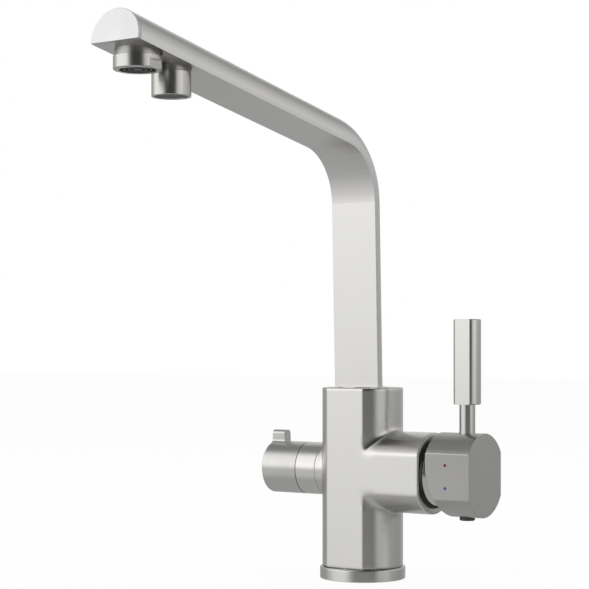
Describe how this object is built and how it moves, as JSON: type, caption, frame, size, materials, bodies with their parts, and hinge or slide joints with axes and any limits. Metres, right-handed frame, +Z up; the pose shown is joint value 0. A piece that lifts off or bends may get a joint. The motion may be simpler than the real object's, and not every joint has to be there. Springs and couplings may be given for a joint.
{
  "type": "three way filtered water tap",
  "caption": "Deck kitchen tap with a side mixer lever, a filtered water knob and a bent swivel spout that has separate outlets for mixed and filtered water.",
  "frame": {"origin": "centre of the base ring's underside, in the deck plane, on the spout's swivel axis", "axes": "+Z up along the body and the swivel axis, -Y the way the spout points at rest, +X towards the mixer lever, -X towards the filter knob"},
  "size_m": [0.1435, 0.2559, 0.2989],
  "materials": {
    "brushed_nickel": "satin brushed nickel plate, brushed round the turned pieces and along the spout",
    "brass_bare": "bare turned brass, on inner pieces",
    "plain_steel": "plain stainless steel, on screws, pin and mesh",
    "rubber_black": "smooth black rubber",
    "ceramic_white": "lapped white ceramic",
    "cartridge_white": "pale moulded plastic",
    "tube_white": "plain white plastic tube",
    "insert_grey": "grey moulded plastic",
    "plug_grey": "dark grey moulded plastic",
    "mark_red": "dark red filled mark",
    "mark_blue": "dark blue filled mark"
  },
  "bodies": {
    "tap": {"base_ring": "brushed_nickel", "deck_seal": "rubber_black", "tap_body": "brushed_nickel", "cartridge_seals": "rubber_black", "cartridge_housing": "cartridge_white", "fixed_disc": "ceramic_white", "cartridge_nut": "brass_bare", "dome_shroud": "brushed_nickel", "dome_seal": "rubber_black", "valve_seal": "rubber_black", "valve_fixed_disc": "ceramic_white", "valve_body": "brass_bare", "valve_collar": "brushed_nickel", "spout_glide_ring": "cartridge_white", "spout_screw": "plain_steel"},
    "spout": {"spout_shank": "brushed_nickel", "spout_o_rings": "rubber_black", "spout_tube": "brushed_nickel", "spout_end_plate": "brushed_nickel", "filtered_water_tube": "tube_white", "mixed_outlet_socket": "brushed_nickel", "aerator_seal": "rubber_black", "aerator_insert": "insert_grey", "aerator_housing": "brushed_nickel", "filter_outlet_socket": "brushed_nickel", "filter_outlet_seal": "rubber_black", "filter_mesh": "plain_steel", "filter_outlet_sleeve": "brushed_nickel"},
    "mixer_turret": {"cartridge_turret": "cartridge_white", "spindle_pin": "plain_steel"},
    "mixer_lever": {"lever_spindle": "brass_bare", "mixer_cap": "brushed_nickel", "hot_mark": "mark_red", "cold_mark": "mark_blue", "lever_rod": "brushed_nickel", "lever_grip": "brushed_nickel", "clamp_screw": "plain_steel", "lever_plug": "plug_grey"},
    "mixing_disc": {"moving_disc": "ceramic_white", "disc_carrier": "cartridge_white"},
    "filter_knob": {"filter_knob": "brushed_nickel", "knob_screw": "plain_steel", "valve_spindle": "brass_bare", "valve_moving_disc": "ceramic_white"}
  },
  "joints": [
    {"name": "spout_swivel", "type": "hinge", "parent": "tap", "child": "spout", "pos_m": [0, 0, 0], "axis": [0, 0, 1], "continuous": true},
    {"name": "lever_turn", "type": "hinge", "parent": "tap", "child": "mixer_turret", "pos_m": [0, 0, 0.0636], "axis": [1, 0, 0], "range_deg": [-45, 45]},
    {"name": "lever_tilt", "type": "hinge", "parent": "mixer_turret", "child": "mixer_lever", "pos_m": [0.0455, 0, 0.0636], "axis": [0, 1, 0], "range_deg": [0, 24]},
    {"name": "disc_slide", "type": "slide", "parent": "mixer_turret", "child": "mixing_disc", "axis": [0, 0, 1], "range_m": [0, 0.0043]},
    {"name": "filter_turn", "type": "hinge", "parent": "tap", "child": "filter_knob", "pos_m": [0, 0, 0.0636], "axis": [1, 0, 0], "range_deg": [0, 90]}
  ],
  "couplings": [
    {"joint": "disc_slide", "follows": "lever_tilt", "m_per_rad": 0.0101}
  ]
}
